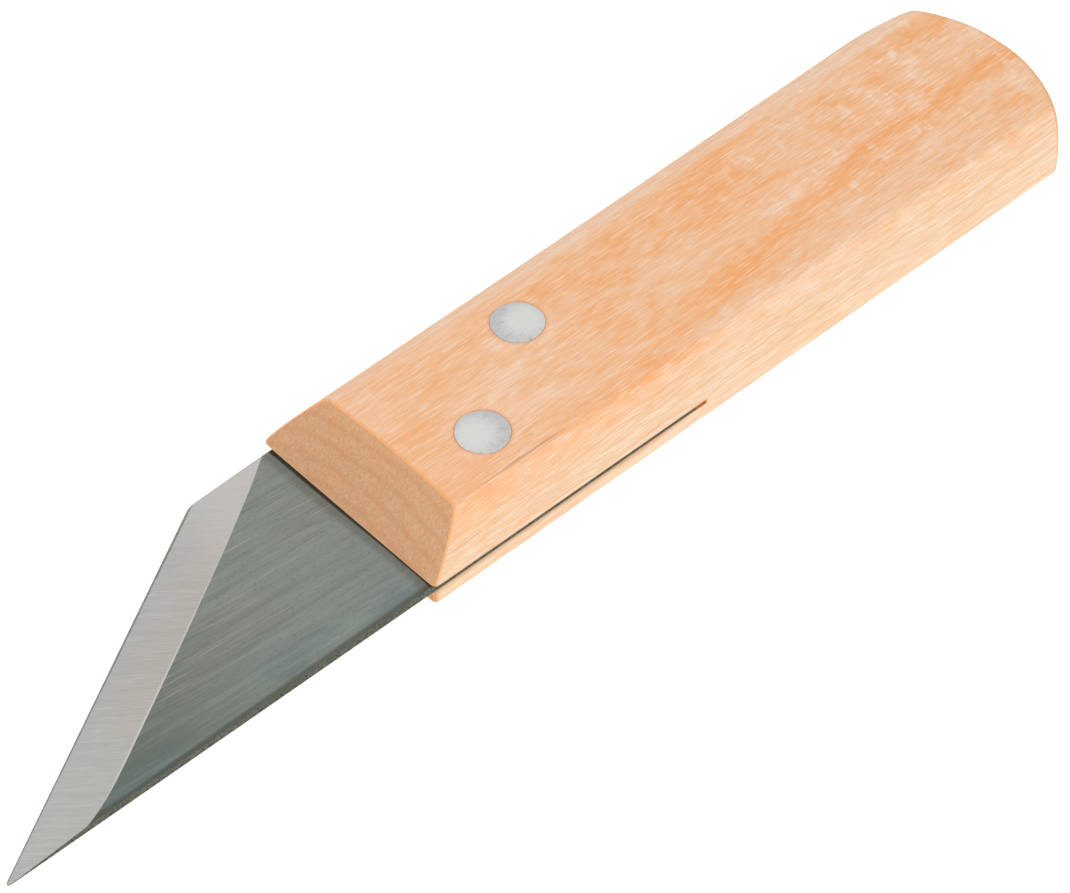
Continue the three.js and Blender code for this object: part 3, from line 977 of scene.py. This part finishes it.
def climbs(face, rise):
    """Whether a face climbs squarely from the cutting edge, within a degree of this rise."""
    climb = math.degrees(face.normal.angle(inwards)) - 90
    square = abs(face.normal.dot(along_edge)) < 0.01
    return square and abs(climb - math.degrees(math.atan(rise))) < 1


for face in plate.faces:
    tilt = math.degrees(face.normal.angle(Vector((0, 0, 1))))
    if climbs(face, BEVEL_RISE):
        face.material_index = BEVEL
    elif climbs(face, HONED_RISE):
        face.material_index = HONED
    elif tilt < FLAT_ABOVE or tilt > 180 - FLAT_BELOW:
        face.material_index = FLAT
    else:
        face.material_index = SHEARED
kinds = [face.material_index for face in plate.faces]
print("faces of each kind:", [kinds.count(kind) for kind in (FLAT, BEVEL, HONED, SHEARED)])
bmesh.ops.translate(plate, verts=plate.verts, vec=(0, 0, BLADE_BOTTOM))

# %% [markdown]
# ## Steel
# Three states of one steel. The flat keeps the grey-green film that hardening left, wiped
# lengthwise with grit, so it has long scratches, some bright. Painted shade darkens it towards the
# tip; it is bluish beside the spine, dull where the shears rolled it over, and a painted shadow
# line with a brown fringe marks where it meets the handle.

# %% The skin of the strip
FILM = tone(144, 152, 146)
FILM_DARK_AND_SHADE = tone(104, 112, 103)
FILM_WARM = tone(142, 143, 135)
FILM_LIGHT = tone(160, 170, 164)
SHADOW_FRINGE_TONE = tone(92, 80, 64)
SHADOW_LINE_TONE = tone(40, 34, 26)
FILM_BLUE = tone(108, 126, 130)
ROLLED = tone(86, 89, 78)
BARE = tone(184, 182, 178)


def filmed_steel():
    f = Finish("hardened_flat", Metallic=1.0)
    clouds = f.grain((12, 7, 7), detail=3, shift=4)
    speckle = f.grain((0.5, 0.35, 0.4), detail=2, shift=12)
    fine = f.grain((5, 0.1, 4), detail=2, roughness=0.6, shift=6, turned=-4)
    broad = f.grain((24, 0.9, 4), detail=2, roughness=0.6, shift=16, turned=-3)
    deep = f.grain((13, 0.12, 4), detail=1, shift=21, turned=-6)
    colour = f.blend(f.step(clouds, 0.42, 0.66) * 0.5, FILM, FILM_WARM)
    # painted shade: the flat is darker towards the tip; the same dark tone also marks real streaks
    tip_shade = f.step(f.x, FRONT - 14, blade_low.x + 16)
    colour = f.blend(tip_shade * 0.85, colour, FILM_DARK_AND_SHADE)
    by_spine = f.step(f.y, SPINE_Y + 7, SPINE_Y + 2)
    colour = f.blend(by_spine * f.step(clouds, 0.42, 0.58) * 0.5, colour, FILM_BLUE)
    colour = f.blend(f.step(broad, 0.5, 0.7) * 0.22, colour, FILM_LIGHT)
    colour = f.blend(f.step(broad, 0.5, 0.3) * 0.22, colour, FILM_DARK_AND_SHADE)
    colour = f.blend(f.step(fine, 0.5, 0.75) * 0.4, colour, FILM_LIGHT)
    colour = f.blend(f.step(fine, 0.5, 0.25) * 0.35, colour, FILM_DARK_AND_SHADE)
    colour = f.blend(f.step(speckle, 0.52, 0.75) * 0.3, colour, FILM_DARK_AND_SHADE)
    bright = f.step(deep, 0.6, 0.7) * f.step(clouds, 0.4, 0.58) * f.step(f.y, SPINE_Y + 4, -6)
    colour = f.blend(bright * 0.6, colour, BARE)
    rolled = f.step(f.y + clouds * 0.3, SPINE_Y + 1.6, SPINE_Y + 1.0)
    colour = f.blend(rolled * 0.75, colour, ROLLED)
    # painted shadow: a dark line where the blade meets the handle, with a painted brown fringe
    # beside it
    junction_shadow = f.step(f.x + f.y * 0.012 + clouds * 0.3, FRONT - 0.4, FRONT - 0.05)
    shadow_fringe = f.step(f.x + f.y * 0.02 + clouds * 0.8, FRONT - 1.7, FRONT - 0.4)
    colour = f.blend(shadow_fringe * 0.4, colour, SHADOW_FRINGE_TONE)
    colour = f.blend(junction_shadow * 0.85, colour, SHADOW_LINE_TONE)
    f.connect("Base Color", colour)
    f.connect("Roughness", 0.34 + fine * 0.2)
    f.relief(fine, 0.003)
    return f


print("film in linear light:", [round(v, 2) for v in FILM[:3]])

# %% [markdown]
# The bevel is bare metal, ground across, so its lines run askew. It is cooler by the edge and at
# the tip, lighter at the heel, and has a painted highlight along its shoulder. The honed strip and
# the sheared sides are duller and browner.

# %% Bare steel
LIGHT_STEEL_AND_HIGHLIGHT = tone(222, 220, 218)
BARE_DARK = tone(172, 168, 164)
BEVEL_COOL = tone(192, 192, 193)
BEVEL_WARM = tone(196, 190, 184)
BEVEL_TIP = tone(192, 199, 194)
GRINDING_TURN = -42       # degrees that the wheel's lines are turned from the length of the knife


def ground_steel():
    f = Finish("ground_bevel", Metallic=1.0)
    lines = f.grain((2.6, 0.09, 4), detail=2, roughness=0.6, shift=8, turned=GRINDING_TURN)
    bands = f.grain((30, 0.6, 4), detail=2, shift=18, turned=GRINDING_TURN)
    clouds = f.grain((5, 5, 5), detail=2, shift=14)
    climb = f.z - BLADE_BOTTOM
    colour = f.blend(f.step(climb + clouds * 0.3, 0.1, 0.65), BEVEL_COOL, BEVEL_WARM)
    colour = f.blend(f.step(f.x, blade_low.x + 30, blade_low.x + 12) * 0.8, colour, BEVEL_TIP)
    colour = f.blend(f.step(lines, 0.5, 0.8) * 0.6, colour, LIGHT_STEEL_AND_HIGHLIGHT)
    colour = f.blend(f.step(lines, 0.5, 0.2) * 0.6, colour, BARE_DARK)
    colour = f.blend(f.step(bands, 0.45, 0.65) * 0.15, colour, BARE_DARK)
    colour = f.blend(f.step(f.x, FRONT - 22, FRONT - 8) * 0.45, colour, LIGHT_STEEL_AND_HIGHLIGHT)
    # painted highlight: a thin bright line along the shoulder of the bevel
    colour = f.blend(f.step(climb, BLADE_THICKNESS - 0.035, BLADE_THICKNESS - 0.01) * 0.7, colour,
                     LIGHT_STEEL_AND_HIGHLIGHT)
    f.connect("Base Color", colour)
    f.connect("Roughness", 0.3 + lines * 0.2)
    f.relief(lines, 0.003)
    return f


def bare_steel(name, light, dark, pitch, rough=0.3):
    """Steel with marks of this pitch, between two tones."""
    f = Finish(name, Metallic=1.0)
    lines = f.grain(pitch, detail=3, roughness=0.6, shift=8)
    clouds = f.grain((5, 5, 5), detail=2, shift=14)
    colour = f.blend(f.step(lines, 0.3, 0.7), dark, light)
    colour = f.blend(f.step(clouds, 0.4, 0.7) * 0.3, colour, dark)
    f.connect("Base Color", colour)
    f.connect("Roughness", rough + lines * 0.2)
    f.relief(lines, 0.003)
    return f


steel_finishes = [
    filmed_steel(),
    ground_steel(),
    bare_steel("honed_strip", tone(176, 170, 162), tone(136, 128, 120), (3, 0.1, 3)),
    bare_steel("sheared_edge", tone(122, 123, 113), tone(74, 75, 66), (0.26, 0.26, 0.18),
               rough=0.45),
]
blade_mesh = cut_away(mesh_from(plate, "blade"), holes, steel_finishes)
piece_from(blade_mesh, "skew_blade", "blade", sharp=4)

# %% [markdown]
# ## Aluminium
# The rivet heads are soft and pale. Sanding leaves them matt, and hammering leaves fine marks that
# run out from a point off the middle, where a painted highlight makes a lighter zone.

# %% Rivet finishes and pieces
def hammered(name, centre, lit):
    """Soft aluminium with a painted highlight about the point lit, which is measured from the
    rivet's centre.
    """
    f = Finish(name, Metallic=1.0)
    from_centre = f.node("ShaderNodeVectorMath", {"operation": "SUBTRACT"}, {
        0: f.place, 1: (centre.x, centre.y, 0)})
    x, y = f.x - centre.x - lit[0], f.y - centre.y - lit[1]
    turn = f.node("ShaderNodeMath", {"operation": "ARCTAN2"}, {0: y, 1: x})
    out = f.node("ShaderNodeMath", {"operation": "SQRT"}, {0: x * x + y * y})
    polar = f.node("ShaderNodeCombineXYZ", inputs={0: turn * 5, 1: out * 0.5})
    rays = f.grain((1, 1, 1), detail=3, roughness=0.6, place=polar)
    pits = f.grain((0.25, 0.25, 0.25), detail=2, place=from_centre, shift=3)
    # painted highlight: paler about the lit point, greyer towards the rim
    colour = f.blend(f.step(out, 1.4, 4.2), tone(228, 228, 226), tone(206, 208, 208))
    colour = f.blend(f.step(rays, 0.5, 0.75) * f.step(out, 1.2, 3.2) * 0.5, colour,
                     tone(166, 169, 171))
    colour = f.blend(f.step(pits, 0.58, 0.75) * 0.35, colour, tone(178, 178, 176))
    f.connect("Base Color", colour)
    f.connect("Roughness", 0.42 + pits * 0.16)
    f.relief(rays * 0.5 + pits * 0.5, 0.02)
    return f


for node, name, lit in (("front_rivet", "rivet_front", (-1.0, 0.4)),
                        ("rear_rivet", "rivet_rear", (0.8, -0.3))):
    low, high = box_mm(node)
    metal = hammered(name + "_metal", (low + high) / 2, lit)
    piece_from(cut_away(rivet_mesh(node, name), [], [metal]), name, node,
               sharp=35)
